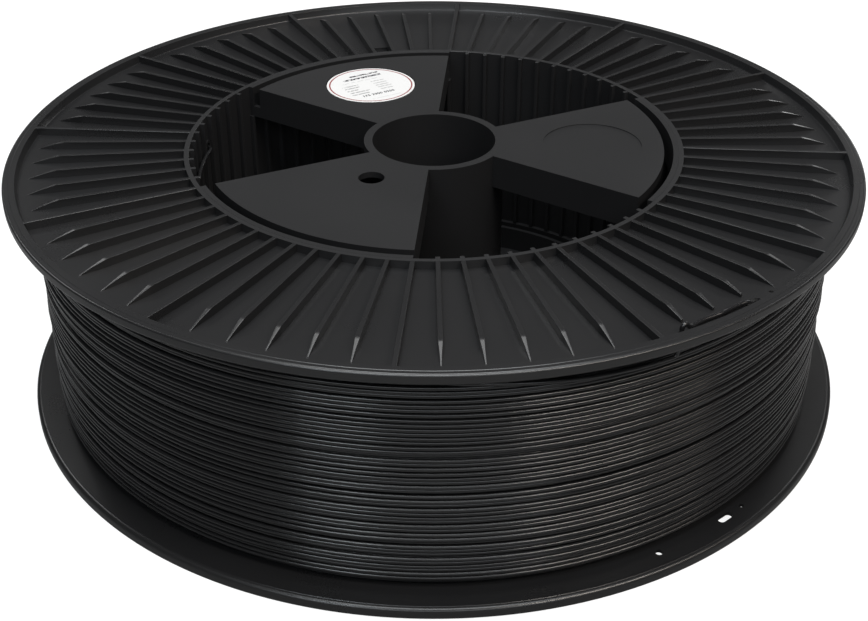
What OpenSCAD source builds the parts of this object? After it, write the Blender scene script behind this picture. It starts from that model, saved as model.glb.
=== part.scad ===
// Large filament spool: two ribbed flanges on a drum, a three-armed hub in each end, and the wound filament.
// The spool lies on its back flange. Z is the bore's axis, and z = 0 is the back flange's outer face.
// Angles are counter-clockwise from +X, seen from the front.

/* [Spool] */
// Outside diameter of both flanges
flange_d = 350; // [330:1:370]
// Overall width, from outer face to outer face
spool_w = 102.5; // [90:0.5:120]
// Diameter of the bore through the hubs
bore_d = 51.5; // [44:0.5:56]

/* [Flange] */
// Thickness of a flange, ribs included
flange_t = 4.6; // [4:0.1:6]
// Thickness of the web between the ribs
web_t = 1.3; // [1:0.1:2]
// Width of the rim's flat crest, its rounded corners included
rim_w = 4.9; // [4:0.1:6]
// How much wider the rim is at its foot
rim_draft = 0.9; // [0.5:0.1:1.5]
// Radius of the crest's outer corner
crest_round = 1.5; // [0.5:0.1:1.5]
// Radius of the crest's inner corner
crest_inner_round = 0.4; // [0.3:0.1:1]
// Radius of the rim's corner on the filament side
face_round = 2; // [1:0.1:2.4]

/* [Ribs] */
// Number of rib steps in one sixth of the spool, an even number
ribs_per_sector = 12; // [8:2:12]
// Thickness of a rib, on the flanges and in the drum
rib_t = 1.7; // [1.2:0.1:2.2]
// Distance from the rim's foot to the end of a short rib
rib_end_gap = 3.2; // [2:0.1:6]
// The same distance for the ribs beside the path of the filament's end
lane_gap = 7.5; // [6.5:0.1:10]
// Length of the slope at the end of a short rib
rib_slope = 10.5; // [6:0.5:20]
// Angle of the rib at the edge of the first hub arm
pattern_turn = 25.8; // [20:0.1:30]

/* [Drum] */
// Inside diameter of the drum's wall
drum_d = 203; // [190:1:215]
// Thickness of the drum's wall
drum_wall = 2; // [1.5:0.1:4]
// Height of the ribs inside the drum
drum_rib_h = 2; // [1:0.1:3]
// How far those ribs stop short of the drum's ends
drum_rib_setback = 0.4; // [0.2:0.1:2]

/* [Hub] */
// Wall thickness of the hub tube
hub_wall = 3.5; // [2.5:0.1:5]
// Thickness of the arm's plate
plate_t = 2.5; // [1.5:0.1:4]
// Depth of the arm's skirts
skirt_depth = 14; // [10:0.5:20]
// Thickness of the arm's skirts
skirt_t = 2; // [1.5:0.1:3]
// Width of the groove round the arm's plate
groove_w = 3.8; // [2:0.1:6]
// Depth of the groove
groove_depth = 3.8; // [2:0.1:5]
// Width of the arm's outer wall, which seats in the drum
seat_w = 2.2; // [1.5:0.1:4]
// Diameter of the driving hole
drive_d = 10.5; // [8:0.5:12]
// Distance of the driving hole from the axis
drive_r = 44; // [42:0.5:50]

/* [Label] */
// Diameter of the round label
label_d = 40; // [30:1:44]
// Thickness of the label
label_t = 0.25; // [0.1:0.05:0.3]
// Distance from the label's centre to the edge of the arm's plate
label_inset = 29.5; // [26:0.5:34]
// Gap round the label in its seat
label_gap = 0.5; // [0.3:0.1:1]
// Depth of the label's seat
seat_depth = 0.35; // [0.3:0.05:0.6]

/* [Filament] */
// Diameter of the filament
filament_d = 1.75; // [1.5:0.05:2]
// Distance from the full winding to the flange's edge
winding_gap = 10.5; // [8:0.1:25]
// Loops shown in the outer layer
loops = 24; // [12:1:24]

/* [Flange holes] */
// Diameter of the hole that the filament's end comes up through
end_hole_d = 2.8; // [2.6:0.1:3.4]
// Angle from that hole to the edge of the first hub arm
end_hole_turn = 86.4; // [85.8:0.1:88]
// Length of the slot that the filament's end goes back down through
slot_l = 7; // [5:0.5:9]
// Width of the slot
slot_w = 3; // [2.6:0.1:3.2]
// Angle from the slot to the edge of the first hub arm
slot_turn = 74.8; // [73.8:0.1:76.5]
// Diameter of the pilot hole beyond the slot
pilot_d = 1.8; // [1:0.1:2]
// Angle from the pilot hole to the edge of the first hub arm
pilot_turn = 71.3; // [70.9:0.1:71.6]
// Gap between these holes' centre line and the rim's foot
hole_inset = 2.4; // [2:0.1:2.6]
// Length of the window beside the drum, along the rim
window_l = 9; // [6:0.5:10]
// Width of the window
window_w = 5.8; // [4:0.1:8]
// Angle from the edge of the first hub arm to the window
window_turn = 76.55; // [73:0.05:80]
// Gap between the drum and the window
window_gap = 8; // [4:0.5:14]

/* [Hidden] */
$fn = 120;

// What a cut runs past the face that it opens, and what joined shapes share
over = 1;
black = "#26272a";
dark = "#1d1e20";
strand = "#2f3033";

flange_r = flange_d / 2;
bore_r = bore_d / 2;
rim_in_r = flange_r - rim_w;
rim_foot_r = rim_in_r - rim_draft;
web_z = flange_t - web_t;
rib_pitch = 60 / ribs_per_sector;
drum_in_r = drum_d / 2;
drum_out_r = drum_in_r + drum_wall;
drum_rib_r = drum_in_r - drum_rib_h;
hub_r = bore_r + hub_wall;
seat_in_r = drum_in_r - seat_w;
plate_r = seat_in_r - groove_w;
label_r = plate_r - label_inset;
hole_r = rim_foot_r - hole_inset;
window_r = drum_out_r + window_gap + window_w / 2;
winding_r = flange_r - winding_gap;
filament_r = filament_d / 2;

// The hub arms' first edges: the front's arms cover a sector that the back's arms leave open
front_arm = pattern_turn - 60;
arms = [0, 1, 2];
// Centre angles of what each arm carries
arm_mid = front_arm + 30;
plain_seat_angle = arm_mid;
label_angle = arm_mid + 120;
drive_angle = arm_mid + 240;
end_hole_angle = pattern_turn - end_hole_turn;
slot_angle = pattern_turn - slot_turn;
pilot_angle = pattern_turn - pilot_turn;
window_angle = pattern_turn + window_turn;

function polar(r, a, z = 0) = [r * cos(a), r * sin(a), z];
function arc(x, y, r, from, to, steps = 4) =
    [for (i = [0 : steps]) let (a = from + (to - from) * i / steps) [x + r * cos(a), y + r * sin(a)]];

// A flange's own outline, from inside the drum's edge to the rim, with its outer face at z = 0
module flange_section() {
    polygon(concat(
        [[drum_in_r, flange_t], [drum_in_r, web_z], [rim_foot_r, web_z]],
        arc(rim_in_r + crest_inner_round, crest_inner_round, crest_inner_round, 180, 270),
        arc(flange_r - crest_round, crest_round, crest_round, 270, 360),
        arc(flange_r - face_round, flange_t - face_round, face_round, 0, 90)
    ));
}

// One rib on edge, rooted in the web: a short one slopes down into it, a long one reaches the rim.
// Between the end hole and the slot the short ones stop early and leave a lane for the filament.
module flange_rib(angle, long) {
    root = web_z + web_t / 2;
    in_lane = angle > end_hole_angle && angle < slot_angle + rib_pitch / 2;
    slope_r = rim_foot_r - (in_lane ? lane_gap : rib_end_gap) - rib_slope;
    top_end = long ? flange_r - rim_w / 2 : slope_r;
    root_end = long ? top_end : slope_r + rib_slope * root / web_z;
    rotate([90, 0, 0]) linear_extrude(rib_t, center = true)
        polygon([[drum_in_r, 0], [top_end, 0], [root_end, root], [drum_in_r, root]]);
}

module slot(length, width, depth) {
    straight = length - width;
    translate([-width / 2, -straight / 2, 0]) cube([width, straight, depth]);
    for (end = [-1, 1]) translate([0, end * straight / 2, 0]) cylinder(d = width, h = depth);
}

module flange_holes() {
    depth = web_t + 2 * over;
    translate([0, 0, web_z - over]) {
        rotate([0, 0, end_hole_angle]) translate([hole_r, 0, 0]) cylinder(d = end_hole_d, h = depth);
        rotate([0, 0, slot_angle]) translate([hole_r, 0, 0]) slot(slot_l, slot_w, depth);
        rotate([0, 0, pilot_angle]) translate([hole_r, 0, 0]) cylinder(d = pilot_d, h = depth);
        rotate([0, 0, window_angle]) translate([window_r - window_w / 2, -window_l / 2, 0])
            cube([window_w, window_l, depth]);
    }
}

// The ribs run on over the holes, and the drum's edge trims web and ribs alike
module flange() {
    difference() {
        union() {
            difference() {
                rotate_extrude() flange_section();
                flange_holes();
            }
            for (i = [0 : 6 * ribs_per_sector - 1]) let (angle = pattern_turn + (i - 3 * ribs_per_sector) * rib_pitch)
                rotate([0, 0, angle]) flange_rib(angle, i % (ribs_per_sector / 2) == 0);
        }
        translate([0, 0, -over]) cylinder(r = drum_out_r, h = flange_t + 2 * over);
    }
}

module front_flange() {
    color(black) translate([0, 0, spool_w]) mirror([0, 0, 1]) flange();
}

module back_flange() {
    color(black) flange();
}

// The drum runs from face to face. Its ribs stop where a hub arm seats.
start_hole_d = 4;
start_hole_angle = pattern_turn + 142.5;
start_z = spool_w - 13;

module drum() {
    color(dark) difference() {
        union() {
            difference() {
                cylinder(r = drum_out_r, h = spool_w);
                translate([0, 0, -over]) cylinder(r = drum_in_r, h = spool_w + 2 * over);
            }
            for (i = [0 : 6 * ribs_per_sector - 1]) {
                edge = i % ribs_per_sector == 0;
                over_back_arm = floor(i / ribs_per_sector) % 2 == 0;
                low = edge || over_back_arm ? skirt_depth : drum_rib_setback;
                high = spool_w - (edge || !over_back_arm ? skirt_depth : drum_rib_setback);
                rotate([0, 0, pattern_turn + i * rib_pitch]) translate([drum_rib_r, -rib_t / 2, low])
                    cube([drum_rib_h + drum_wall / 2, rib_t, high - low]);
            }
        }
        rotate([0, 0, start_hole_angle]) translate([drum_rib_r - over, 0, start_z]) rotate([0, 90, 0])
            cylinder(d = start_hole_d, h = drum_rib_h + drum_wall + 2 * over);
    }
}

// A slice of 60 degrees, its sides drawn in by a gap. It starts inside the hub tube's wall.
module slice(gap) {
    apex = gap / sin(30) * [cos(30), sin(30)];
    start = bore_r + hub_wall / 2 - 2 * gap;
    reach = 2 * drum_out_r;
    translate([0, 0, -skirt_depth - over]) linear_extrude(skirt_depth + 2 * over) polygon([
        apex + [start, 0], apex + [reach, 0], apex + reach * [cos(60), sin(60)], apex + start * [cos(60), sin(60)]
    ]);
}

module ring(inner_r, outer_r, low, high) {
    translate([0, 0, low]) difference() {
        cylinder(r = outer_r, h = high - low);
        translate([0, 0, -over]) cylinder(r = inner_r, h = high - low + 2 * over);
    }
}

// The three arms, with their outer face at z = 0: a plate with skirts, and an outer wall beyond a groove
module hub_arms() {
    below = -skirt_depth - over;
    difference() {
        intersection() {
            translate([0, 0, -skirt_depth]) cylinder(r = drum_in_r, h = skirt_depth);
            for (i = arms) rotate([0, 0, front_arm + i * 120]) slice(0);
        }
        ring(plate_r, seat_in_r, -groove_depth, over);
        intersection() {
            union() {
                translate([0, 0, below]) cylinder(r = plate_r - skirt_t, h = -plate_t - below);
                ring(plate_r, seat_in_r, below, -groove_depth - plate_t);
            }
            for (i = arms) rotate([0, 0, front_arm + i * 120]) slice(skirt_t);
        }
    }
}

// Half of the hub tube with its three arms
module hub() {
    difference() {
        union() {
            translate([0, 0, -spool_w / 2]) cylinder(r = hub_r, h = spool_w / 2);
            hub_arms();
        }
        translate([0, 0, -spool_w / 2 - over]) cylinder(r = bore_r, h = spool_w / 2 + 2 * over);
        translate(polar(drive_r, drive_angle, -plate_t - over)) cylinder(d = drive_d, h = plate_t + 2 * over);
        for (a = [plain_seat_angle, label_angle])
            translate(polar(label_r, a, -seat_depth)) cylinder(d = label_d + 2 * label_gap, h = seat_depth + over);
    }
}

module front_hub() {
    color(black) translate([0, 0, spool_w]) hub();
}

// The same moulding turned over, with its arms between the front's
module back_hub() {
    color(black) rotate([0, 0, 2 * pattern_turn]) rotate([180, 0, 0]) hub();
}

// The inner layers of the winding, as one plain sleeve on the drum.
// The outer layer is drawn with straight steps, and the sleeve clears the middle of each step.
rings_per_loop = 24;
wound_r = winding_r - filament_r;
core_r = wound_r * cos(180 / rings_per_loop) - filament_r - 0.1;

module winding_core() {
    color(dark) translate([0, 0, flange_t]) difference() {
        cylinder(r = core_r, h = spool_w - 2 * flange_t);
        translate([0, 0, -over]) cylinder(r = drum_out_r, h = spool_w - 2 * flange_t + 2 * over);
    }
}

// A tube of straight steps along a path. Each ring is square to the path, and sides[i] is the way
// that ring i's first corner points.
function unit(v) = v / norm(v);
function along(path, i) = unit(path[min(i + 1, len(path) - 1)] - path[max(i - 1, 0)]);
function across(side, t) = unit(side - (side * t) * t);
function corners(centre, t, side, r, n) =
    let (u = across(side, t), v = cross(t, u))
    [for (k = [0 : n - 1]) centre + r * (cos(360 * k / n) * u + sin(360 * k / n) * v)];

module tube(path, sides, r, n) {
    last = len(path) - 1;
    points = [for (i = [0 : last]) each corners(path[i], along(path, i), sides[i], r, n)];
    walls = [for (i = [0 : last - 1], k = [0 : n - 1])
        let (a = i * n + k, b = i * n + (k + 1) % n)
        each [[a, a + n, b], [b, a + n, b + n]]];
    caps = [for (k = [1 : n - 2]) each [[0, k, k + 1], [last * n, last * n + k + 1, last * n + k]]];
    polyhedron(points, concat(walls, caps));
}

// The outer layer climbs from the back flange to the front flange. It starts square on the back
// flange's face, and at the top it leaves the winding and turns up into the front flange's end hole.
inner_back = flange_t;
inner_front = spool_w - flange_t;
bend_r = 1.25 * filament_d;
step_a = 360 / rings_per_loop;
bend_a = bend_r / wound_r * 180 / PI;
first_z = inner_back + filament_d + bend_r;
last_z = inner_front - filament_d - bend_r;
climb = (last_z - first_z) / loops;
// The last stretch swings out from the winding to the end hole's circle
swing_a = 45;
layer_end_a = end_hole_angle;
layer_start_a = layer_end_a - swing_a - loops * 360;

function ease(t) = t * t * (3 - 2 * t);

turns_path = [for (i = [0 : loops * rings_per_loop]) let (t = i / (loops * rings_per_loop))
    [layer_start_a + bend_a + i * step_a, wound_r, first_z + (last_z - first_z) * t]];
swing_steps = 8;
swing_path = [for (i = [1 : swing_steps - 1]) let (t = i / swing_steps)
    [layer_end_a - swing_a + bend_a + (swing_a - 2 * bend_a) * t, wound_r + (hole_r - wound_r) * ease(t), last_z]];
start_bend = [for (i = [0 : 3]) let (b = 90 * i / 4)
    [layer_start_a + bend_a * (1 - cos(b)), wound_r, first_z - bend_r * (1 - sin(b))]];
end_bend = [for (i = [0 : 4]) let (b = 90 * i / 4)
    [layer_end_a - bend_a * (1 - sin(b)), hole_r, last_z + bend_r * (1 - cos(b))]];
layer_route = concat(
    [[layer_start_a, wound_r, inner_back]],
    start_bend, turns_path, swing_path, end_bend,
    [[layer_end_a, hole_r, inner_front]]
);
layer_path = [for (p = layer_route) polar(p[1], p[0], p[2])];
layer_sides = [for (p = layer_route) polar(1, p[0])];

// The least gap between the outer layer's tube and itself, from each ring to those about a turn later
layer_gap = min([for (i = [0 : len(layer_path) - 1], j = [i + 12 : min(i + 36, len(layer_path) - 1)])
    norm(layer_path[i] - layer_path[j])]) - filament_d;
echo(least_gap_in_outer_layer = layer_gap);

module winding_outer_layer() {
    color(strand) tube(layer_path, layer_sides, filament_r, 6);
}

// A smooth path through hand-set points
function between(p, i, t) =
    let (a = p[max(i - 1, 0)], b = p[i], c = p[i + 1], d = p[min(i + 2, len(p) - 1)])
    0.5 * (2 * b + (c - a) * t + (2 * a - 5 * b + 4 * c - d) * t * t + (3 * b - a - 3 * c + d) * t * t * t);
function smooth(p, steps) = concat(
    [for (i = [0 : len(p) - 2], s = [0 : steps - 1]) between(p, i, s / steps)], [p[len(p) - 1]]);

// The filament's end: up through the end hole, along the front web past the ribs' feet, down the slot.
// Each point is a distance from the end hole towards the slot, a height above the flange's inner face
// and a distance outwards.
end_hole_at = polar(hole_r, end_hole_angle, inner_front);
slot_at = polar(hole_r, slot_angle, inner_front);
end_run = norm(slot_at - end_hole_at);
end_way = unit(slot_at - end_hole_at);
end_out = polar(1, (end_hole_angle + slot_angle) / 2);
end_lie = web_t + filament_r + 0.2;
end_points = [
    [0, filament_d, 0], [0.4, end_lie + 0.6, 0], [1.8, end_lie + 1, 0], [4.2, end_lie + 0.5, -0.2],
    [8, end_lie, -0.7], [13, end_lie, -1.1], [18, end_lie, -1.1],
    [end_run - 9, end_lie, -0.6], [end_run - 5, end_lie, -0.2], [end_run - 2.4, end_lie - 0.4, 0],
    [end_run - 0.7, end_lie - 1.7, 0], [end_run, end_lie - 3.9, 0], [end_run, end_lie - 6.3, 0]
];
end_path = concat([end_hole_at],
    smooth([for (p = end_points) end_hole_at + p[0] * end_way + p[2] * end_out + [0, 0, p[1]]], 3));

module filament_end() {
    color(strand) tube(end_path, [for (p = end_path) end_out], filament_r, 8);
}

// The filament's start: in through the drum's wall and along the tops of the drum's ribs.
// Each point is an angle past the start hole, a radius and a height above the start hole.
start_lie = drum_rib_r - filament_r - 0.15;
start_r = drum_out_r - 0.02;
start_points = [
    [0, start_r, 0], [0, start_r - filament_d, 0], [0.1, drum_in_r - 0.6, 0], [0.8, start_lie + 0.6, 0.1],
    [2.4, start_lie - 0.3, 0.3], [4.6, start_lie - 0.2, 0.2], [8, start_lie, -0.2], [11, start_lie, -0.5],
    [14, start_lie, -0.7], [17.5, start_lie, -0.8]
];
start_path = smooth([for (p = start_points) polar(p[1], start_hole_angle + p[0], start_z + p[2])], 3);

module filament_start() {
    color(strand) tube(start_path, [for (p = start_path) [0, 0, 1]], filament_r, 8);
}

module label() {
    color("white") translate(polar(label_r, label_angle, spool_w - seat_depth)) cylinder(d = label_d, h = label_t);
}

front_flange();
back_flange();
drum();
front_hub();
back_hub();
winding_core();
winding_outer_layer();
filament_end();
filament_start();
label();
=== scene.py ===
# %% [markdown]
# # A large filament spool, full of black filament
#
# The spool lies on its back flange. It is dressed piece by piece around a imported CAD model, which gives
# every size and place. Each piece is modelled as by hand: a primitive, some steps in edit mode, and
# modifiers that are applied. Lengths are in metres, so a value in millimetres is written with MM behind it.

# %% Load the frame
import math
import random

import bmesh
import bpy
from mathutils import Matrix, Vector


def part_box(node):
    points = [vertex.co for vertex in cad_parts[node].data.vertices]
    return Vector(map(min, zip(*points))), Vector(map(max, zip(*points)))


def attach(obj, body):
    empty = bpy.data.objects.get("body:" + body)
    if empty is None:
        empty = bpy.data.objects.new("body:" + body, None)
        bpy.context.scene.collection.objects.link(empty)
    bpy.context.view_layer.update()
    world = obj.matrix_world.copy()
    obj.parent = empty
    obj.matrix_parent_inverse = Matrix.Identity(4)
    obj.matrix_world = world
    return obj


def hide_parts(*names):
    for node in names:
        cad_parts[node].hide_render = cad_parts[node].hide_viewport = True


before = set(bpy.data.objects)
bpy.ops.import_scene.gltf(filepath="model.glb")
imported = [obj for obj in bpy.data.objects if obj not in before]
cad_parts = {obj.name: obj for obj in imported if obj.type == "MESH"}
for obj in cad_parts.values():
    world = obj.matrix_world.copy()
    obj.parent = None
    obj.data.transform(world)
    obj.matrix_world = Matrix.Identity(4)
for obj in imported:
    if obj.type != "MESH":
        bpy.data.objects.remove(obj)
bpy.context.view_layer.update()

MM = 0.001

# %% [markdown]
# ## The camera
#
# A camera is a place, a tilt and a focal length. This one stands half a metre in front of the spool's axis
# and looks down at it. The lens is shifted a little, which slides the picture in its frame without turning
# the view, so upright edges keep their perspective.

# %% Camera
camera_data = bpy.data.cameras.new("spool_camera")
camera_data.sensor_fit = "HORIZONTAL"
camera_data.sensor_width = 36
camera_data.lens = 57.807
camera_data.shift_x = 0.00021
camera_data.shift_y = -0.04597
camera_data.clip_start = 0.01
camera = bpy.data.objects.new("spool_camera", camera_data)
camera.location = (0, -0.53289, 0.34682)
camera.rotation_euler = (math.radians(59.983), 0, 0)
bpy.context.collection.objects.link(camera)
bpy.context.scene.camera = camera
print("camera distance:", round(camera.location.length, 3), "m")

# %% [markdown]
# ## Sizes that the pieces share
#
# These are the main sizes of the spool, the same ones that the CAD model was made from. A round part is
# made of flat steps, and where two round parts touch they have the same number of steps, so that their
# steps lie on each other and leave no slivers between them.

# %% Main sizes
FLANGE_R = 175 * MM
SPOOL_W = 102.5 * MM
BORE_R = 25.75 * MM
FLANGE_T = 4.6 * MM
WEB_T = 1.3 * MM
RIM_IN_R = 170.1 * MM
RIM_FOOT_R = 169.2 * MM
DRUM_IN_R = 101.5 * MM
DRUM_OUT_R = 103.5 * MM
HOLE_R = 166.8 * MM
PATTERN_TURN = math.radians(25.8)
RIB_PITCH = math.radians(5)
RIB_COUNT = 72
RIB_T = 1.7 * MM
INNER_BACK = FLANGE_T
INNER_FRONT = SPOOL_W - FLANGE_T
SIDES = 240

drum_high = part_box("drum")[1]
print("drum in the CAD model:", round(drum_high.x / MM, 2), "mm in radius")

# %% [markdown]
# ## Helpers for working by hand in code
#
# Every operator of Blender acts on what is selected. So each step first selects one object, or in edit mode
# the few faces or edges that it is about. `pick` finds them by their place: it selects each face, edge or
# vertex whose corners all pass a test.

# %% Selecting
def only(piece):
    """Selects this object alone and makes it active."""
    bpy.ops.object.select_all(action="DESELECT")
    piece.select_set(True)
    bpy.context.view_layer.objects.active = piece


def edit(piece):
    only(piece)
    bpy.ops.object.mode_set(mode="EDIT")


def leave_edit():
    bpy.ops.object.mode_set(mode="OBJECT")


def pick(kind, passes):
    """In edit mode, selects the VERTs, EDGEs or FACEs whose corners all pass the test."""
    bpy.ops.mesh.select_mode(type=kind)
    bpy.ops.mesh.select_all(action="DESELECT")
    data = bpy.context.object.data
    mesh = bmesh.from_edit_mesh(data)
    for part in {"VERT": mesh.verts, "EDGE": mesh.edges, "FACE": mesh.faces}[kind]:
        corners = [part.co] if kind == "VERT" else [corner.co for corner in part.verts]
        if all(passes(corner) for corner in corners):
            part.select_set(True)
    mesh.select_flush_mode()
    bmesh.update_edit_mesh(data)


HAIR = 0.04 * MM


def on_ring(radius, height):
    """A test for points on the circle of that radius and height round the Z axis."""
    return lambda p: abs(p.xy.length - radius) < HAIR and abs(p.z - height) < HAIR


def settle(piece):
    """Puts the object's place, turn and scale into its mesh."""
    only(piece)
    bpy.ops.object.transform_apply(location=True, rotation=True, scale=True)
    return piece

# %% [markdown]
# Modifiers do the joining, cutting and rounding. Each is applied at once, so that what follows works on the
# real mesh. The manifold solver of Boolean is quick and exact, and it refuses a mesh that isn't closed.

# %% Modifiers, applied at once
def apply_modifier(piece, kind, **settings):
    only(piece)
    modifier = piece.modifiers.new(kind.lower(), kind)
    for name, value in settings.items():
        setattr(modifier, name, value)
    bpy.ops.object.modifier_apply(modifier=modifier.name)


def combine(piece, tool, operation):
    """Joins the tool to the piece or cuts it out, and removes the tool."""
    apply_modifier(piece, "BOOLEAN", operation=operation, solver="MANIFOLD", object=tool)
    bpy.data.objects.remove(tool, do_unlink=True)


def soften(piece, width, spared, angle=35):
    """Rounds every edge that is sharper than the angle, except those whose ends both pass the test."""
    edit(piece)
    bpy.ops.mesh.select_mode(type="EDGE")
    bpy.ops.mesh.select_all(action="DESELECT")
    bpy.ops.mesh.edges_select_sharp(sharpness=math.radians(angle))
    mesh = bmesh.from_edit_mesh(piece.data)
    for edge in mesh.edges:
        if edge.select and all(spared(corner.co) for corner in edge.verts):
            edge.select_set(False)
    bmesh.update_edit_mesh(piece.data)
    bpy.ops.mesh.bevel(offset=width, segments=2, clamp_overlap=True, affect="EDGES")
    leave_edit()


def smooth(piece, angle=30):
    """Shades the piece smooth up to that angle, and lets its large faces lead the shading."""
    only(piece)
    bpy.ops.object.shade_smooth_by_angle(angle=math.radians(angle))
    apply_modifier(piece, "WEIGHTED_NORMAL", keep_sharp=True, weight=80)


def face_outward(piece, merged=0.0):
    """Merges corners that lie closer than that, if it is given, and turns every face outward."""
    edit(piece)
    bpy.ops.mesh.select_all(action="SELECT")
    if merged:
        bpy.ops.mesh.remove_doubles(threshold=merged)
    bpy.ops.mesh.normals_make_consistent(inside=False)
    leave_edit()


def copy_of(piece):
    only(piece)
    bpy.ops.object.duplicate()
    return bpy.context.object


def turned_copies(piece, angles, name):
    """Copies the piece round the Z axis, each copy with its own mesh, and joins the copies."""
    copies = []
    for angle in angles:
        copy = copy_of(piece)
        copy.rotation_euler.z = angle
        copies.append(settle(copy))
    bpy.ops.object.select_all(action="DESELECT")
    for copy in copies:
        copy.select_set(True)
    bpy.context.view_layer.objects.active = copies[0]
    bpy.ops.object.join()
    copies[0].name = name
    return copies[0]

# %% [markdown]
# Two blanks come back again and again: a box, and a ring. The ring is a cylinder whose two ends are inset.
# The inset faces are then bridged, which opens a hole right through.

# %% Blanks
def box_blank(name, low, high):
    bpy.ops.object.select_all(action="DESELECT")
    middle = [(a + b) / 2 for a, b in zip(low, high)]
    bpy.ops.mesh.primitive_cube_add(size=1, location=middle, scale=[b - a for a, b in zip(low, high)])
    piece = settle(bpy.context.object)
    piece.name = name
    return piece


def round_blank(name, radius, low, high, sides=SIDES, centre=(0, 0)):
    bpy.ops.object.select_all(action="DESELECT")
    bpy.ops.mesh.primitive_cylinder_add(vertices=sides, radius=radius, depth=high - low,
                                        location=(*centre, (low + high) / 2), end_fill_type="NGON")
    piece = settle(bpy.context.object)
    piece.name = name
    return piece


def inset_by(width, sides=SIDES):
    """Insets the selected round face, so that its corners come in by the width."""
    bpy.ops.mesh.inset(thickness=width * math.cos(math.pi / sides), use_even_offset=True)


def ring_blank(name, inner, outer, low, high, sides=SIDES):
    piece = round_blank(name, outer, low, high, sides)
    edit(piece)
    for height in (low, high):
        pick("FACE", on_ring(outer, height))
        inset_by(outer - inner, sides)
    pick("FACE", lambda p: abs(p.xy.length - inner) < HAIR)
    bpy.ops.mesh.bridge_edge_loops()
    leave_edit()
    return piece

# %% [markdown]
# ## The flange
#
# A flange of this size is one injection moulding: a web only 1.3 mm thick, a rounded rim that keeps it from
# warping, and 72 ribs that make it stiff. The web could be a lathed profile. Here it starts as a ring, its
# outer face is inset and pushed down to the web, and the rim is what stays standing. Two fine steps on the
# crest and one on the filament's side, where rings of the mould meet, catch the light as thin lines. The
# flange is modelled once, at the front, and the back flange is a mirrored copy, because both come out of
# matching moulds.

# %% Web and rim
CREST_ROUND = 0.7 * MM
CREST_INNER_ROUND = 0.1 * MM
FACE_ROUND = 1.7 * MM
FOOT_ROUND = 0.5 * MM
WEB_Z = INNER_FRONT + WEB_T
# Two hair-high steps run round the crest
STEP_H, STEP_W = 0.1 * MM, 0.2 * MM
STEP_RADII = (174.15 * MM, 172.6 * MM)
CREST_LOW = SPOOL_W - 2 * STEP_H
# A steeper one runs round the filament's side, just inside the large corner
LIP_H, LIP_W, LIP_R = 0.14 * MM, 0.14 * MM, 173.2 * MM
LIP_Z = INNER_FRONT + LIP_H

flange = round_blank("flange_front", FLANGE_R, LIP_Z, CREST_LOW)
edit(flange)
pick("FACE", on_ring(FLANGE_R, CREST_LOW))
edge_r = FLANGE_R
for step_r in STEP_RADII:
    inset_by(edge_r - step_r)
    inset_by(STEP_W)
    bpy.ops.transform.translate(value=(0, 0, STEP_H))
    edge_r = step_r - STEP_W
inset_by(edge_r - RIM_IN_R)
inset_by(RIM_IN_R - RIM_FOOT_R)
bpy.ops.transform.translate(value=(0, 0, WEB_Z - SPOOL_W))
inset_by(RIM_FOOT_R - DRUM_OUT_R)
pick("FACE", on_ring(FLANGE_R, LIP_Z))
inset_by(FLANGE_R - LIP_R)
inset_by(LIP_W)
bpy.ops.transform.translate(value=(0, 0, -LIP_H))
inset_by(LIP_R - LIP_W - DRUM_OUT_R)
pick("FACE", lambda p: abs(p.xy.length - DRUM_OUT_R) < HAIR)
bpy.ops.mesh.bridge_edge_loops()

# The rim's corners: two on its crest, a large one on the filament's side, and the one at its foot
pick("EDGE", on_ring(FLANGE_R, CREST_LOW))
bpy.ops.mesh.bevel(offset=CREST_ROUND, segments=4)
pick("EDGE", on_ring(RIM_IN_R, SPOOL_W))
bpy.ops.mesh.bevel(offset=CREST_INNER_ROUND, segments=2)
pick("EDGE", on_ring(FLANGE_R, LIP_Z))
bpy.ops.mesh.bevel(offset=FACE_ROUND, segments=5)
pick("EDGE", on_ring(RIM_FOOT_R, WEB_Z))
bpy.ops.mesh.bevel(offset=FOOT_ROUND, segments=2)
leave_edit()
print("web and rim:", len(flange.data.polygons), "faces")

# %% [markdown]
# The holes in the web are cut before the ribs are added, because in the real moulding the ribs run on over
# them. Near the rim there are a round hole, through which the filament's end comes up, a slot that it goes
# back down through, and a small pilot mark. A square window beside the drum shows the winding. The slot's
# cutter is a cylinder, half of which is moved away from the other half.

# %% Holes in the web
CUT_LOW, CUT_HIGH = INNER_FRONT - 1 * MM, WEB_Z + 1 * MM
END_ANGLE = PATTERN_TURN - math.radians(86.4)
SLOT_ANGLE = PATTERN_TURN - math.radians(74.8)
PILOT_ANGLE = PATTERN_TURN - math.radians(71.3)
WINDOW_ANGLE = PATTERN_TURN + math.radians(76.55)
END_HOLE_R = 1.4 * MM
PILOT_R = 0.9 * MM
SLOT_R = 1.5 * MM
SLOT_STRETCH = 2 * MM
WINDOW_LOW = (111.5 * MM, -4.5 * MM, CUT_LOW)
WINDOW_HIGH = (117.3 * MM, 4.5 * MM, CUT_HIGH)


def turn(piece, angle):
    piece.rotation_euler.z = angle
    return settle(piece)


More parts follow.
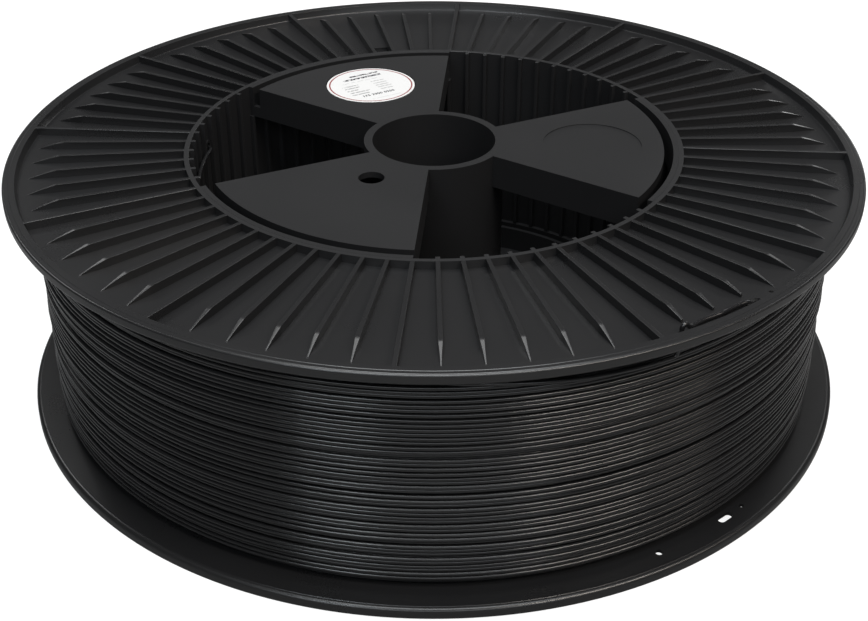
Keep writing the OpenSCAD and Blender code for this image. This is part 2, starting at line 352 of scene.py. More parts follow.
end_cutter = round_blank("end_cutter", END_HOLE_R, CUT_LOW, CUT_HIGH, 24, (HOLE_R, 0))
pilot_cutter = round_blank("pilot_cutter", PILOT_R, CUT_LOW, CUT_HIGH, 16, (HOLE_R, 0))
slot_cutter = round_blank("slot_cutter", SLOT_R, CUT_LOW, CUT_HIGH, 32, (HOLE_R, 0))
edit(slot_cutter)
pick("VERT", lambda p: p.y > 0.01 * MM)
bpy.ops.transform.translate(value=(0, SLOT_STRETCH, 0))
pick("VERT", lambda p: p.y < 0.01 * MM)
bpy.ops.transform.translate(value=(0, -SLOT_STRETCH, 0))
leave_edit()
window_cutter = box_blank("window_cutter", WINDOW_LOW, WINDOW_HIGH)
for cutter, angle in ((end_cutter, END_ANGLE), (pilot_cutter, PILOT_ANGLE), (slot_cutter, SLOT_ANGLE),
                      (window_cutter, WINDOW_ANGLE)):
    combine(flange, turn(cutter, angle), "DIFFERENCE")
print("holes cut, faces now:", len(flange.data.polygons))

# %% [markdown]
# A short rib is a long box whose outer end is extruded in eight more steps, each pushed down further than
# the one before, which makes a slope that bends a little on its way down. It also gets narrower to its foot,
# and its edges are rounded over, as the cutter that made the mould left them. Every sixth rib is a long one:
# it has no slope and runs into the rim. Three short ribs have their feet cut off, which leaves a lane for
# the filament's end between its two holes.

# %% One short rib and one long rib
RIB_TOP = SPOOL_W - 0.02 * MM
RIB_ROOT = WEB_Z - WEB_T / 2
RIB_START = DRUM_OUT_R - 0.02 * MM
SLOPE_START = 154.0 * MM
SLOPE_END = 165.8 * MM
# The rib's width at each of the eight steps, as a share of its full width
SLOPE_WIDTHS = (0.92, 0.8, 0.68, 0.57, 0.49, 0.43, 0.4, 0.38)
# How much of the slope's fall bends down towards its foot, and how deep the foot runs into the web
SLOPE_BEND = 0.2
SLOPE_SINK = 0.05 * MM
LANE_R = 161.7 * MM
EDGE_ROUND = 0.15 * MM

short_rib = box_blank("short_rib", (RIB_START, -RIB_T / 2, RIB_ROOT), (SLOPE_START, RIB_T / 2, RIB_TOP))
edit(short_rib)
pick("FACE", lambda p: abs(p.x - SLOPE_START) < HAIR)
slope_x, slope_z, slope_width = SLOPE_START, RIB_TOP, 1.0
for number, width in enumerate(SLOPE_WIDTHS, start=1):
    share = number / len(SLOPE_WIDTHS)
    next_x = SLOPE_START + (SLOPE_END - SLOPE_START) * share
    fall = (1 - SLOPE_BEND) * share + SLOPE_BEND * share ** 2
    next_z = RIB_TOP - (RIB_TOP - WEB_Z + SLOPE_SINK) * fall
    bpy.ops.mesh.extrude_region_move(TRANSFORM_OT_translate={"value": (next_x - slope_x, 0, 0)})
    bpy.ops.transform.resize(value=(1, width / slope_width, 1), center_override=(next_x, 0, RIB_ROOT))
    pick("VERT", lambda p: abs(p.x - next_x) < HAIR and p.z > WEB_Z - HAIR)
    bpy.ops.transform.translate(value=(0, 0, next_z - slope_z))
    pick("FACE", lambda p: abs(p.x - next_x) < HAIR)
    slope_x, slope_z, slope_width = next_x, next_z, width
for side in (1, -1):
    pick("EDGE", lambda p: p.z > RIB_ROOT + HAIR and p.y * side > 0)
    bpy.ops.mesh.bevel(offset=EDGE_ROUND, segments=2)
leave_edit()

long_rib = box_blank("long_rib", (RIB_START, -RIB_T / 2, RIB_ROOT), (RIM_IN_R + 1 * MM, RIB_T / 2, RIB_TOP))
edit(long_rib)
pick("EDGE", lambda p: p.z > WEB_Z + HAIR and abs(abs(p.y) - RIB_T / 2) < HAIR)
bpy.ops.mesh.bevel(offset=EDGE_ROUND, segments=2)
leave_edit()

lane_rib = copy_of(short_rib)
edit(lane_rib)
bpy.ops.mesh.select_all(action="SELECT")
bpy.ops.mesh.bisect(plane_co=(LANE_R, 0, 0), plane_no=(1, 0, 0), use_fill=True, clear_outer=True)
leave_edit()
print("rib faces:", [len(rib.data.polygons) for rib in (short_rib, lane_rib, long_rib)])

# %% [markdown]
# Each of the three kinds is copied round the axis to its places, and its copies are joined to the web in
# one union, which is quicker than a union for each rib. The shading is smooth only below 24 degrees, so that
# the fine steps, whose slopes are steeper, stay crisp.

# %% All 72 ribs, joined to the web
CRISP_ANGLE = 24
rib_angles = [PATTERN_TURN + step * RIB_PITCH for step in range(RIB_COUNT)]
LANE_STEPS = (55, 56, 57)
kinds = ["long" if i % 6 == 0 else "lane" if i in LANE_STEPS else "short" for i in range(RIB_COUNT)]
for kind, pattern in (("short", short_rib), ("lane", lane_rib), ("long", long_rib)):
    places = [angle for angle, own in zip(rib_angles, kinds) if own == kind]
    ribs = turned_copies(pattern, places, kind + "_ribs")
    bpy.data.objects.remove(pattern, do_unlink=True)
    combine(flange, ribs, "UNION")
smooth(flange, CRISP_ANGLE)
print("flange:", len(flange.data.polygons), "faces")

# %% [markdown]
# The back flange is the same shape, mirrored front to back. A negative scale turns a mesh inside out, so its
# normals are recalculated afterwards.

# %% Back flange
back_flange = copy_of(flange)
back_flange.name = "flange_back"
back_flange.scale.z = -1
back_flange.location.z = SPOOL_W
settle(back_flange)
face_outward(back_flange)
smooth(back_flange, CRISP_ANGLE)
print("back flange from", round(min(v.co.z for v in back_flange.data.vertices) / MM, 2), "mm up")

# %% [markdown]
# ## The drum
#
# The drum is the barrel that the filament is wound on. From above it shows as a thin ring inside the
# flange's ribs, and through the open sectors its own upright ribs are seen, one behind each rib of the
# flange. They stop where an arm of the hub seats in the drum, so they come in a few lengths. A rib of each
# length is modelled once, with rounded edges, and copied to its places.

# %% Drum
DRUM_RIB_R = 99.5 * MM
SKIRT_DEPTH = 14 * MM
# How far the drum's ribs stop short of its end
RIB_SETBACK = 0.15 * MM
DRUM_END_ROUND = 0.08 * MM
DRUM_RIB_ROUND = 0.3 * MM

drum = ring_blank("drum_barrel", DRUM_IN_R, DRUM_OUT_R, 0, SPOOL_W)
edit(drum)
for height in (0, SPOOL_W):
    pick("EDGE", on_ring(DRUM_IN_R, height))
    bpy.ops.mesh.bevel(offset=DRUM_END_ROUND, segments=1)
leave_edit()


def drum_rib(name, low, high):
    piece = box_blank(name, (DRUM_RIB_R, -RIB_T / 2, low), (DRUM_IN_R + 1 * MM, RIB_T / 2, high))
    edit(piece)
    pick("EDGE", lambda p: abs(p.x - DRUM_RIB_R) < HAIR)
    bpy.ops.mesh.bevel(offset=DRUM_RIB_ROUND, segments=2)
    leave_edit()
    return piece


def spans(step):
    """How far the drum's rib at that step reaches, from its low end to its high end."""
    at_edge = step % 12 == 0
    over_back_arm = (step // 12) % 2 == 0
    low = SKIRT_DEPTH if at_edge or over_back_arm else RIB_SETBACK
    high = SPOOL_W - (SKIRT_DEPTH if at_edge or not over_back_arm else RIB_SETBACK)
    return low, high


for number, span in enumerate(sorted({spans(step) for step in range(RIB_COUNT)})):
    pattern = drum_rib("drum_rib", *span)
    ribs = turned_copies(pattern, [rib_angles[step] for step in range(RIB_COUNT) if spans(step) == span],
                         "drum_ribs")
    bpy.data.objects.remove(pattern, do_unlink=True)
    combine(drum, ribs, "UNION")
    print("drum ribs from", round(span[0] / MM, 1), "to", round(span[1] / MM, 1), "mm")

# %% [markdown]
# The filament's start goes in through a small hole in the drum's wall. Inside, the moulding has a raised lip
# round it. The lip is a short cylinder laid on its side, joined to the wall, and the hole is cut after it.

# %% Start hole with its lip
START_ANGLE = PATTERN_TURN + math.radians(142.5)
START_Z = SPOOL_W - 13 * MM
START_LIP_R = 3.0 * MM
START_LIP_H = 1.2 * MM
START_HOLE_R = 2.0 * MM


def side_pin(name, radius, inner, outer):
    """A cylinder laid on its side, from one radius to another, at the start hole."""
    pin = round_blank(name, radius, inner, outer, 32)
    pin.rotation_euler = (0, math.pi / 2, 0)
    settle(pin)
    pin.rotation_euler.z = START_ANGLE
    pin.location.z = START_Z
    return settle(pin)


combine(drum, side_pin("start_lip", START_LIP_R, DRUM_IN_R - START_LIP_H, DRUM_IN_R + 1 * MM), "UNION")
combine(drum, side_pin("start_cutter", START_HOLE_R, DRUM_IN_R - 4 * MM, DRUM_OUT_R + 2 * MM), "DIFFERENCE")
smooth(drum)
print("drum:", len(drum.data.polygons), "faces")

# %% [markdown]
# ## The hub
#
# Each end of the drum carries a hub with three arms. An arm is a sector of 60 degrees: a plate with skirts
# round its edge, and beyond a deep groove an outer wall that seats in the drum. The groove is open below, so
# it looks black, and only the skirts at the arm's two sides bridge it. A round disc is cut down to three
# sectors with Bisect, which slices a mesh along a plane and fills the cut. The hub is modelled once, at the
# front, and turned over for the back, where its arms lie behind the front's open sectors.

# %% The arms, cut from a disc
PLATE_R = 95.5 * MM
SEAT_IN_R = 99.3 * MM
HUB_R = 29.25 * MM
PLATE_T = 2.5 * MM
SKIRT_T = 2.0 * MM
GROOVE_DEPTH = 9 * MM
ARM_LOW = SPOOL_W - SKIRT_DEPTH
FRONT_ARM = PATTERN_TURN - math.radians(60)
ARM_SPAN = math.radians(60)


def sector(name, radius, low, high, gap=0.0):
    """A slice of 60 degrees from a disc, its two straight sides drawn in by the gap."""
    piece = round_blank(name, radius, low, high)
    edit(piece)
    for angle, side in ((FRONT_ARM, 1), (FRONT_ARM + ARM_SPAN, -1)):
        across = Vector((-math.sin(angle), math.cos(angle), 0)) * side
        bpy.ops.mesh.select_all(action="SELECT")
        bpy.ops.mesh.bisect(plane_co=across * gap, plane_no=across, use_fill=True, clear_inner=True)
    leave_edit()
    return piece


arm = sector("arm", DRUM_IN_R, ARM_LOW, SPOOL_W)
pocket = sector("pocket", PLATE_R - SKIRT_T, ARM_LOW - 1 * MM, SPOOL_W - PLATE_T, SKIRT_T)
combine(arm, pocket, "DIFFERENCE")
ring_cavity = sector("ring_cavity", SEAT_IN_R, ARM_LOW - 1 * MM, SPOOL_W - GROOVE_DEPTH + 1 * MM, SKIRT_T)
cavity_core = round_blank("cavity_core", PLATE_R, ARM_LOW - 2 * MM, SPOOL_W)
combine(ring_cavity, cavity_core, "DIFFERENCE")
combine(arm, ring_cavity, "DIFFERENCE")
hub_arms = turned_copies(arm, [math.radians(120 * k) for k in range(3)], "hub_arms")
bpy.data.objects.remove(arm, do_unlink=True)
combine(hub_arms, ring_blank("groove", PLATE_R, SEAT_IN_R, SPOOL_W - GROOVE_DEPTH, SPOOL_W + 1 * MM),
        "DIFFERENCE")
print("hub arms:", len(hub_arms.data.polygons), "faces")

# %% [markdown]
# The hub's tube goes half-way down the spool, where it meets the other hub's tube. It is joined to the arms
# before the bore is cut, so that both are open at once. The driving hole takes the pin that turns the spool,
# and the two shallow round seats are where labels go.

# %% Hub tube, bore, driving hole and label seats
LABEL_R = 66 * MM
LABEL_D = 40 * MM
SEAT_R = LABEL_D / 2 + 0.5 * MM
SEAT_DEPTH = 0.35 * MM
DRIVE_HOLE_R = 5.25 * MM
DRIVE_HOLE_AT = 44 * MM
PLAIN_SEAT_ANGLE = FRONT_ARM + math.radians(30)
LABEL_ANGLE = PLAIN_SEAT_ANGLE + math.radians(120)
DRIVE_ANGLE = PLAIN_SEAT_ANGLE + math.radians(240)


def spot(radius, angle):
    return radius * math.cos(angle), radius * math.sin(angle)


hub = round_blank("hub_front", HUB_R, SPOOL_W / 2, SPOOL_W, 120)
combine(hub, hub_arms, "UNION")
combine(hub, round_blank("bore_cutter", BORE_R, SPOOL_W / 2 - 1 * MM, SPOOL_W + 1 * MM, 120), "DIFFERENCE")
combine(hub, round_blank("drive_cutter", DRIVE_HOLE_R, SPOOL_W - PLATE_T - 1 * MM, SPOOL_W + 1 * MM, 40,
                         spot(DRIVE_HOLE_AT, DRIVE_ANGLE)), "DIFFERENCE")
for seat_angle in (PLAIN_SEAT_ANGLE, LABEL_ANGLE):
    combine(hub, round_blank("seat_cutter", SEAT_R, SPOOL_W - SEAT_DEPTH, SPOOL_W + 1 * MM, 96,
                             spot(LABEL_R, seat_angle)), "DIFFERENCE")

# %% [markdown]
# A moulding's edges are never quite sharp, and a softened edge catches a thin line of light. The bevel is
# made in edit mode on the sharp edges alone. It spares the seats, which are too shallow for it, and the
# outer ring, where hub and drum meet flush.

# %% Softened edges
HUB_EDGE_ROUND = 0.2 * MM


def stays_sharp(p):
    """The seats' edges and the outer ring, which makes one flat band with the drum's end."""
    seats = [Vector(spot(LABEL_R, angle)) for angle in (PLAIN_SEAT_ANGLE, LABEL_ANGLE)]
    at_seat = any(abs((p.xy - seat).length - SEAT_R) < HAIR for seat in seats)
    return at_seat or on_ring(DRUM_IN_R, SPOOL_W)(p)


soften(hub, HUB_EDGE_ROUND, stays_sharp)
smooth(hub)
print("hub:", len(hub.data.polygons), "faces")

# %% [markdown]
# The back hub is the same moulding. It is turned over and not mirrored, which brings its arms behind the
# front's open sectors. Its lowest points are then set on the ground.

# %% The back hub
back_hub = copy_of(hub)
back_hub.name = "hub_back"
back_hub.rotation_euler = (math.pi, 0, 2 * PATTERN_TURN)
back_hub.location.z = SPOOL_W
settle(back_hub)
back_hub.location.z = -min(v.co.z for v in back_hub.data.vertices)
settle(back_hub)
smooth(back_hub)
print("back hub from", round(min(v.co.z for v in back_hub.data.vertices) / MM, 2), "mm up")

# %% [markdown]
# ## The winding
#
# The filament is one strand of 1.75 mm, laid side by side in about fifty turns. On the real spool some turns
# sink a little between their neighbours and some stand proud, which gives the winding its uneven, corded
# look. The strand could be one spiral, but a machine winds each turn flat and steps up once a turn, so here
# the steps all lie at the back. A turn that sinks takes less height, because the strands still touch.

# %% Where each turn lies
STRAND_R = 0.875 * MM
WOUND_R = 163.625 * MM
STRAND_PITCH = 1.77 * MM
# The lowest turns step inward below this height
CHAMFER_TOP = 9.3 * MM
CHAMFER_SLOPE = 0.96
# Heights where turns have sunk, and how deep
SUNK = ((12.4, 0.6), (19.4, 0.9), (24.6, 0.5), (28.6, 0.7), (33.2, 0.9), (40.2, 0.8), (45.3, 1.3),
        (50.6, 0.7), (57.7, 0.6), (61.2, 0.9), (66.8, 0.9), (76.7, 0.8), (79.2, 0.6), (85.0, 0.9),
        (90.5, 1.5))
SUNK_REACH = 0.75
# Every turn sinks by up to this much more
UNEVEN = 0.3
# Heights where two turns lie apart, and how far
GAPS = ((20.2, 0.5), (29.0, 0.35), (33.6, 0.5), (40.8, 0.45), (45.2, 0.8), (52.8, 0.35), (55.2, 0.3),
        (61.4, 0.4), (66.9, 0.5), (76.6, 0.5), (79.2, 0.3), (85.1, 0.5), (90.6, 0.9))
# Room between the strand and the flanges' faces
FACE_GAP = 0.03 * MM
random.seed(728)


def chamfer_at(height):
    return max(0.0, CHAMFER_TOP - height) * CHAMFER_SLOPE


def sink_at(height):
    sunk = 0.0
    for middle, depth in SUNK:
        sunk += depth * math.exp(-(((height / MM - middle) / SUNK_REACH) ** 2))
    return (sunk + random.uniform(0, UNEVEN)) * MM + chamfer_at(height)


def gap_at(low, high):
    return sum(width for middle, width in GAPS if low < middle * MM <= high) * MM


turns = []
height = INNER_BACK + STRAND_R + FACE_GAP
radius = WOUND_R - sink_at(height)
while height < INNER_FRONT - STRAND_R:
    turns.append((radius, height))
    next_radius = WOUND_R - sink_at(height + STRAND_PITCH * 0.9)
    rise = math.sqrt(STRAND_PITCH ** 2 - (next_radius - radius) ** 2)
    height += rise + gap_at(height, height + rise)
    radius = next_radius
stretch = (INNER_FRONT - STRAND_R - FACE_GAP - turns[0][1]) / (turns[-1][1] - turns[0][1])
turns = [(radius, turns[0][1] + (height - turns[0][1]) * stretch) for radius, height in turns]
print("turns in the outer layer:", len(turns), "stretched by", round(stretch, 3))

# %% [markdown]
# A strand is a path that becomes a curve with a round bevel, and the curve becomes a mesh. The outer layer's
# path has many points and stays as it is, so it is a poly curve. The two loose ends have few points, so they
# are smooth Bezier curves.

# %% A strand along a path
def strand(name, points, sides=8, kind="POLY"):
    """A tube along a path, capped at both ends."""
    curve = bpy.data.curves.new(name, "CURVE")
    curve.dimensions = "3D"
    curve.bevel_depth = STRAND_R
    curve.bevel_resolution = sides // 2 - 2
    curve.use_fill_caps = True
    curve.resolution_u = 6
    spline = curve.splines.new(kind)
    if kind == "BEZIER":
        spline.bezier_points.add(len(points) - 1)
        for place, point in zip(spline.bezier_points, points):
            place.co = point
            place.handle_left_type = "AUTO"
            place.handle_right_type = "AUTO"
    else:
        spline.points.add(len(points) - 1)
        for place, point in zip(spline.points, points):
            place.co = (*point, 1)
    piece = bpy.data.objects.new(name, curve)
    bpy.context.collection.objects.link(piece)
    only(piece)
    bpy.ops.object.convert(target="MESH")
    piece = bpy.context.object
    face_outward(piece, 0.002 * MM)
    bpy.ops.object.shade_smooth()
    return piece


def polar(radius, angle, height):
    return Vector((radius * math.cos(angle), radius * math.sin(angle), height))


print("strand:", round(2 * STRAND_R / MM, 2), "mm thick")

# %% [markdown]
# The outer layer's path is sampled every three degrees. In the step zone it eases from one turn's place to
# the next, and on its way round it wavers by a hair. It starts under the surface. The last stretch leaves
# the top, comes down loose over the turns below, and then climbs to the flange's hole.

# %% The outer layer as one strand
RINGS = 120
STEP_FROM, STEP_TO = math.radians(70), math.radians(120)
# How far the strand wavers in and out, once and three times a turn, and up and down, in millimetres
WAVER, RIPPLE, SWAY = 0.2, 0.12, 0.08
PHASES = 6.28


def ease(t):
    t = min(max(t, 0.0), 1.0)
    return t * t * (3 - 2 * t)


waves = [[random.uniform(0, PHASES) for _ in range(3)] for _ in turns]
strand_path = []
start_angle = STEP_TO
for number, (radius, height) in enumerate(turns[:-1]):
    next_radius, next_height = turns[number + 1]
    for ring in range(RINGS):
        swept = 2 * math.pi * ring / RINGS
        angle = start_angle + swept
        shift = ease((swept - (2 * math.pi - (STEP_TO - STEP_FROM))) / (STEP_TO - STEP_FROM))
        wave = [(1 - shift) * a + shift * b for a, b in zip(waves[number], waves[number + 1])]
        wobble = WAVER * math.sin(angle + wave[0]) + RIPPLE * math.sin(3 * angle + wave[1])
        sway = SWAY * math.sin(2 * angle + wave[2])
        strand_path.append(polar(radius + (next_radius - radius) * shift + wobble * MM, angle,
                                 height + (next_height - height) * shift + sway * MM))
print("points on the strand:", len(strand_path))

# The first tenth of a turn rises from under the surface
RISE_RINGS = 12
START_SUNK = 1.9
for number in range(RISE_RINGS):
    sunk = (1 - ease(number / RISE_RINGS)) * START_SUNK * MM
    flat = strand_path[number].xy.length
    strand_path[number].xy *= (flat - sunk) / flat

# The last stretch leaves the top, comes down loose over the turns below and goes up to the end hole
top_radius, top_height = turns[-1]
LOOSE_R = WOUND_R + 1.8 * MM
LOOSE_Z = 89.2 * MM
SWING = math.radians(70)
BEND = 1.6 * MM
angle = start_angle
end_angle = END_ANGLE + 2 * math.pi
while angle < end_angle - BEND / HOLE_R - 0.01:
    along = (angle - (end_angle - SWING)) / SWING
    out, down = ease(along * 2.5), ease((along - 0.25) / 0.7)
    strand_path.append(polar(top_radius + (LOOSE_R - top_radius) * out, angle,
                             top_height + (LOOSE_Z - top_height) * down))
    angle += 2 * math.pi / RINGS
for number in range(6):
    arc = math.pi / 2 * number / 5
    strand_path.append(polar(LOOSE_R, end_angle - BEND / HOLE_R * (1 - math.sin(arc)),
                             LOOSE_Z + BEND * (1 - math.cos(arc))))
climb = INNER_FRONT + 0.05 * MM - LOOSE_Z - BEND
for share in (0.3, 0.6, 0.8, 1.0):
    strand_path.append(polar(LOOSE_R + (HOLE_R - LOOSE_R) * ease(share), end_angle,
                             LOOSE_Z + BEND + climb * share))
outer_layer = strand("winding_outer_turns", strand_path)
print("outer layer:", len(outer_layer.data.polygons), "faces")

# %% [markdown]
# The layers below show only in the gaps between the turns. They are one closed ring with a corded surface. A
# plane is emptied and given the outline of the ring's section, with a half-circle for each cord, which Spin
# takes once round the axis. The doubles at the seam are merged before the normals are recalculated.

# %% The layers below
UNDER_R = WOUND_R - 1.5 * MM
UNDER_SIDES = 144
CORDS = 52

bpy.ops.object.select_all(action="DESELECT")
bpy.ops.mesh.primitive_plane_add(size=1)
under = bpy.context.object
under.name = "winding_under_layers"
under.data.clear_geometry()
profile = [(DRUM_OUT_R, INNER_BACK)]
cord_pitch = (INNER_FRONT - INNER_BACK) / CORDS
for cord in range(CORDS):
    for step in range(5):
        arc = math.pi * (0.08 + 0.84 * step / 4)
        cord_z = INNER_BACK + cord_pitch * (cord + 0.5) - 0.5 * cord_pitch * math.cos(arc)
        profile.append((UNDER_R - STRAND_R + STRAND_R * math.sin(arc) - chamfer_at(cord_z), cord_z))
profile.append((DRUM_OUT_R, INNER_FRONT))
under.data.from_pydata([(x, 0, z) for x, z in profile],
                       [(i, i + 1) for i in range(len(profile) - 1)] + [(len(profile) - 1, 0)], [])
edit(under)
bpy.ops.mesh.select_all(action="SELECT")
bpy.ops.mesh.spin(steps=UNDER_SIDES, angle=2 * math.pi, center=(0, 0, 0), axis=(0, 0, 1),
                  use_auto_merge=True)
leave_edit()
face_outward(under, 0.005 * MM)
smooth(under, 50)
print("under layers:", len(under.data.polygons), "faces")

# %% [markdown]
# ## The filament's two ends
#
# The outer end comes up through its hole in the front flange, lies over the web in the ribs' lane and dives
# back down through the slot, which keeps the winding from springing loose. It is a smooth curve through a
# few given points.

# %% Outer end
end_hole = polar(HOLE_R, END_ANGLE, INNER_FRONT)
slot_place = polar(HOLE_R, SLOT_ANGLE, INNER_FRONT)
end_run = (slot_place - end_hole).length / MM
end_way = (slot_place - end_hole).normalized()
end_out = polar(1, (END_ANGLE + SLOT_ANGLE) / 2, 0)
END_LIE = (WEB_T + STRAND_R) / MM + 0.2
# Each point in millimetres: along from the hole to the slot, up, and out from the axis
end_points = ((0, 0, 0), (-0.2, 1.75, 0), (-0.4, END_LIE + 1.2, 0.2), (0.5, END_LIE + 2.2, 0.3),
              (1.7, END_LIE + 1.5, 0.2), (3.4, END_LIE + 0.2, 0), (6, END_LIE, -0.2), (11, END_LIE, -0.6),
              (15.3, END_LIE, -0.2), (17.4, END_LIE + 0.15, 0), (21.5, END_LIE, -0.3), (27.5, END_LIE, -0.5),
              (end_run - 3.6, END_LIE - 0.1, -0.2), (end_run - 1.6, END_LIE - 0.9, 0),
              (end_run - 0.5, END_LIE - 2.2, 0), (end_run, END_LIE - 4.2, 0), (end_run, END_LIE - 6.3, 0))
end_path = [end_hole + (along * end_way + out * end_out + Vector((0, 0, up))) * MM
            for along, up, out in end_points]
outer_end = strand("filament_outer_end", end_path, sides=12, kind="BEZIER")
print("outer end:", round(end_run, 1), "mm from hole to slot")

# %% [markdown]
# The inner end is the first stretch that was wound. It comes in through the lipped hole in the drum's wall,
# bends round and lies along the drum's ribs. Its points are set as angles, radii and heights, because it
# follows the wall.

# %% Inner end
START_LIE = DRUM_RIB_R - STRAND_R - 0.15 * MM
# Each point is an angle past the start hole, a radius and a height over the hole
start_points = ((0, DRUM_OUT_R - 0.02 * MM, 0), (0, DRUM_OUT_R - 1.77 * MM, 0),
                (0.1, DRUM_IN_R - 0.6 * MM, 0), (0.8, START_LIE + 0.6 * MM, 0.1),
                (2.4, START_LIE - 0.3 * MM, 0.3), (4.6, START_LIE - 0.2 * MM, 0.2), (8, START_LIE, -0.2),
                (11, START_LIE, -0.5), (14, START_LIE, -0.7), (17.5, START_LIE, -0.8))
start_path = [polar(r, START_ANGLE + math.radians(a), START_Z + up * MM) for a, r, up in start_points]
inner_end = strand("filament_inner_end", start_path, sides=12, kind="BEZIER")
print("inner end:", len(inner_end.data.polygons), "faces")

# %% [markdown]
# ## The label
#
# A round paper label sits in its shallow seat. It is a thin disc with a softened edge at the top. Its rows
# of small print are plain bars that come from its material.

# %% Label
PRINT_TURN = math.radians(30)

label_low, label_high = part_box("label")
label = round_blank("label_disc", LABEL_D / 2, label_low.z, label_high.z, 96, spot(LABEL_R, LABEL_ANGLE))
edit(label)
pick("EDGE", lambda p: abs(p.z - label_high.z) < HAIR)
bpy.ops.mesh.bevel(offset=0.05 * MM, segments=2)
leave_edit()
smooth(label)
print("label at", [round(value / MM, 1) for value in spot(LABEL_R, LABEL_ANGLE)], "mm")

# %% [markdown]
# The one bold row is plain numbers, made as a text object, because letters are shapes and not bars. The text
# becomes a mesh, is moved to its place on a label at the origin, turned with the print, and then laid on the
# paper.

# %% The bold row of numbers
NUMBERS_AT = (-9.5 * MM, -11.2 * MM, 0)

bpy.ops.object.select_all(action="DESELECT")
bpy.ops.object.text_add(location=(0, 0, 0))
numbers = bpy.context.object
numbers.name = "label_numbers"
numbers.data.body = "175 2300 0350"
numbers.data.size = 2.4 * MM
numbers.data.extrude = 0.005 * MM
numbers.data.offset = 0.08 * MM
numbers.data.space_character = 1.1
only(numbers)
bpy.ops.object.convert(target="MESH")
numbers = bpy.context.object
numbers.location = NUMBERS_AT
settle(numbers)
numbers.rotation_euler.z = PRINT_TURN
numbers.location = (*spot(LABEL_R, LABEL_ANGLE), label_high.z + 0.006 * MM)
settle(numbers)
print("numbers:", len(numbers.data.polygons), "faces")

# %% [markdown]
# ## Materials
#
# Moulded black plastic isn't one flat colour. It has a fine grain from the mould, faint cloudy marks where
# the melt flowed, and a gloss that changes a little from place to place. These effects are made once, as a
# node group, and used in each plastic with its own values.

# %% Helpers for materials, and a node group for moulded plastic
def math_node(nodes, links, operation, first, second=None, third=None, clamp=False):
    node = nodes.new("ShaderNodeMath")
    node.operation = operation
    node.use_clamp = clamp
    for place, value in enumerate((first, second, third)):
        if value is None:
            continue
        if isinstance(value, (int, float)):
            node.inputs[place].default_value = value
        else:
            links.new(value, node.inputs[place])
    return node.outputs[0]


def spread(nodes, links, value, low, high):
    """Stretches a value from 0..1 to low..high."""
    node = nodes.new("ShaderNodeMapRange")
    node.inputs["To Min"].default_value = low
    node.inputs["To Max"].default_value = high
    links.new(value, node.inputs["Value"])
    return node.outputs["Result"]


def new_material(name):
    """A new material, its nodes, its links and its surface node."""
    material = bpy.data.materials.new(name)
    material.use_nodes = True
    nodes = material.node_tree.nodes
    return material, nodes, material.node_tree.links, nodes["Principled BSDF"]


moulded = bpy.data.node_groups.new("moulded_plastic", "ShaderNodeTree")
moulded.interface.new_socket("Vector", in_out="INPUT", socket_type="NodeSocketVector")
for socket_name, value in (("Grain", 1400.0), ("Clouds", 18.0)):
    socket = moulded.interface.new_socket(socket_name, in_out="INPUT", socket_type="NodeSocketFloat")
    socket.default_value = value
for socket_name in ("Shade", "Gloss", "Height"):
    moulded.interface.new_socket(socket_name, in_out="OUTPUT", socket_type="NodeSocketFloat")
nodes, links = moulded.nodes, moulded.links
moulded_in = nodes.new("NodeGroupInput")
moulded_out = nodes.new("NodeGroupOutput")


def noise(scale_input, detail):
    """A noise texture whose scale comes from that input of the group."""
    node = nodes.new("ShaderNodeTexNoise")
    node.inputs["Detail"].default_value = detail
    links.new(moulded_in.outputs["Vector"], node.inputs["Vector"])
    links.new(moulded_in.outputs[scale_input], node.inputs["Scale"])
    return node.outputs["Fac"]


grain = noise("Grain", 2)
clouds = noise("Clouds", 3)
links.new(clouds, moulded_out.inputs["Shade"])
# The gloss follows the clouds much more than the grain, which would make edges sparkle
GRAIN_SHARE = 0.12
cloudy = math_node(nodes, links, "MULTIPLY", clouds, 1 - GRAIN_SHARE)
gloss = math_node(nodes, links, "MULTIPLY_ADD", grain, GRAIN_SHARE, cloudy)
links.new(gloss, moulded_out.inputs["Gloss"])
links.new(grain, moulded_out.inputs["Height"])
print("node group:", moulded.name)

# %% [markdown]
# Four plastics use the group. Each has a dark and a light colour, which the clouds mix, and a span for its
# roughness. The moulded pieces are satin, and the filament is glossier, because it was drawn through a
# smooth die. The grain is a bump of at most a fiftieth of a millimetre.

# %% Plastic materials
def plastic(name, dark, light, rough_low, rough_high, grain_scale=1400.0, bump=0.02):
    material, nodes, links, surface = new_material(name)
    place = nodes.new("ShaderNodeTexCoord").outputs["Object"]
    effect = nodes.new("ShaderNodeGroup")
    effect.node_tree = moulded
    effect.inputs["Grain"].default_value = grain_scale
    links.new(place, effect.inputs["Vector"])
    tint = nodes.new("ShaderNodeMix")
    tint.data_type = "RGBA"
    tint.inputs[6].default_value = (*dark, 1)
    tint.inputs[7].default_value = (*light, 1)
    links.new(effect.outputs["Shade"], tint.inputs[0])
    links.new(tint.outputs[2], surface.inputs["Base Color"])
    roughness = spread(nodes, links, effect.outputs["Gloss"], rough_low, rough_high)
    links.new(roughness, surface.inputs["Roughness"])
    grain_bump = nodes.new("ShaderNodeBump")
    grain_bump.inputs["Strength"].default_value = 1.0
    grain_bump.inputs["Distance"].default_value = bump * MM
    links.new(effect.outputs["Height"], grain_bump.inputs["Height"])
    links.new(grain_bump.outputs["Normal"], surface.inputs["Normal"])
    return material


